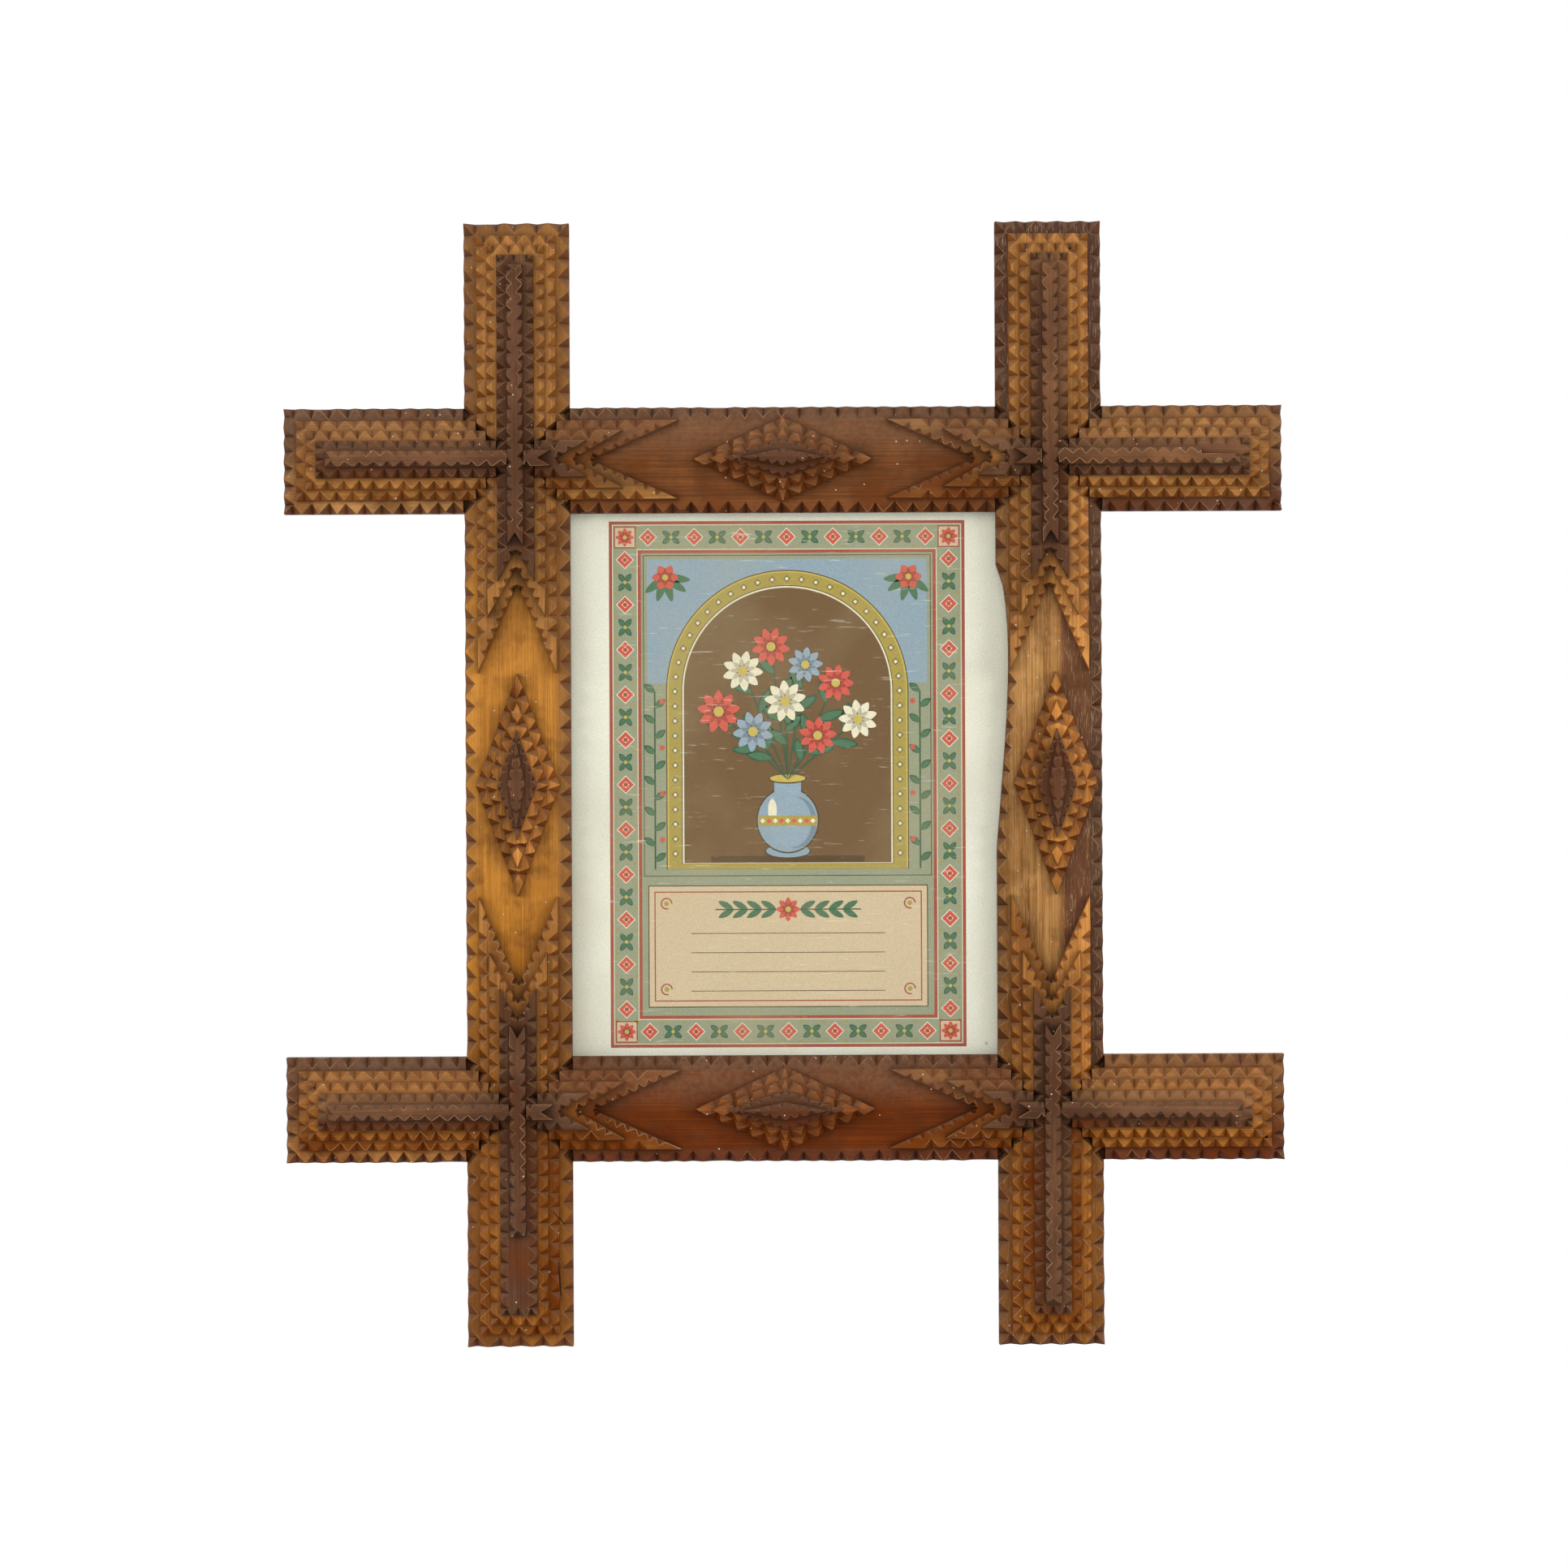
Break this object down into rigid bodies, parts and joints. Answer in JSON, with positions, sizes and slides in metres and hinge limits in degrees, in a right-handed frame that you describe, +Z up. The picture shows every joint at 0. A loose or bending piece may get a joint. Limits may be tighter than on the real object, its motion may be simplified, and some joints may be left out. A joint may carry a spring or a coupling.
{
  "type": "chip-carved picture frame",
  "caption": "Crossed-corner wooden picture frame with stepped, notched layers, lozenges on its sides, a glazed print and a hanging ring on a screw eye behind the top rail.",
  "frame": {"origin": "point on the wall plane at the middle of the hanging ring when it stands up on its nail", "axes": "+Z up, +Y into the wall, the carved front looks along -Y, +X to the right of a viewer in front"},
  "size_m": [0.492, 0.036, 0.554],
  "materials": {
    "rail_board": "old varnish",
    "stile_board": "old varnish",
    "golden_strips": "old varnish",
    "dark_strips": "old dark stain",
    "rebate_wood": "bare, aged",
    "backing_wood": "bare, aged",
    "glass": "clear",
    "card": "aged",
    "steel": "dull",
    "brass": "tarnished"
  },
  "bodies": {
    "frame": {"top_rail": "rail_board", "bottom_rail": "rail_board", "left_stile": "stile_board", "right_stile": "stile_board", "top_left_stile_layer_1": "golden_strips", "top_left_stile_layer_2": "golden_strips", "top_left_stile_layer_3": "dark_strips", "top_left_stile_layer_4": "dark_strips", "top_right_stile_layer_1": "golden_strips", "top_right_stile_layer_2": "golden_strips", "top_right_stile_layer_3": "dark_strips", "top_right_stile_layer_4": "dark_strips", "bottom_left_stile_layer_1": "golden_strips", "bottom_left_stile_layer_2": "golden_strips", "bottom_left_stile_layer_3": "dark_strips", "bottom_left_stile_layer_4": "dark_strips", "bottom_right_stile_layer_1": "golden_strips", "bottom_right_stile_layer_2": "golden_strips", "bottom_right_stile_layer_3": "dark_strips", "bottom_right_stile_layer_4": "dark_strips", "top_left_rail_layer_1": "golden_strips", "top_left_rail_layer_2": "golden_strips", "top_left_rail_layer_3": "dark_strips", "top_left_rail_layer_4": "dark_strips", "top_right_rail_layer_1": "golden_strips", "top_right_rail_layer_2": "golden_strips", "top_right_rail_layer_3": "dark_strips", "top_right_rail_layer_4": "dark_strips", "bottom_left_rail_layer_1": "golden_strips", "bottom_left_rail_layer_2": "golden_strips", "bottom_left_rail_layer_3": "dark_strips", "bottom_left_rail_layer_4": "dark_strips", "bottom_right_rail_layer_1": "golden_strips", "bottom_right_rail_layer_2": "golden_strips", "bottom_right_rail_layer_3": "dark_strips", "bottom_right_rail_layer_4": "dark_strips", "rail_lozenges_layer_1": "golden_strips", "rail_lozenges_layer_2": "golden_strips", "rail_lozenges_layer_3": "dark_strips", "rail_lozenges_layer_4": "dark_strips", "stile_lozenges_layer_1": "golden_strips", "stile_lozenges_layer_2": "golden_strips", "stile_lozenges_layer_3": "dark_strips", "stile_lozenges_layer_4": "dark_strips", "top_rebate_strip": "rebate_wood", "bottom_rebate_strip": "rebate_wood", "left_rebate_strip": "rebate_wood", "right_rebate_strip": "rebate_wood", "glass_pane": "glass", "printed_card": "card", "backboard": "backing_wood", "backboard_brads": "steel", "rebate_nails": "steel", "lap_nails": "steel", "screw_eye": "brass"},
    "ring": {"hanging_ring": "brass"}
  },
  "joints": [
    {"name": "ring_swing", "type": "hinge", "parent": "frame", "child": "ring", "pos_m": [0, -0.004, -0.007], "axis": [1, 0, 0], "range_deg": [-10, 190]}
  ]
}
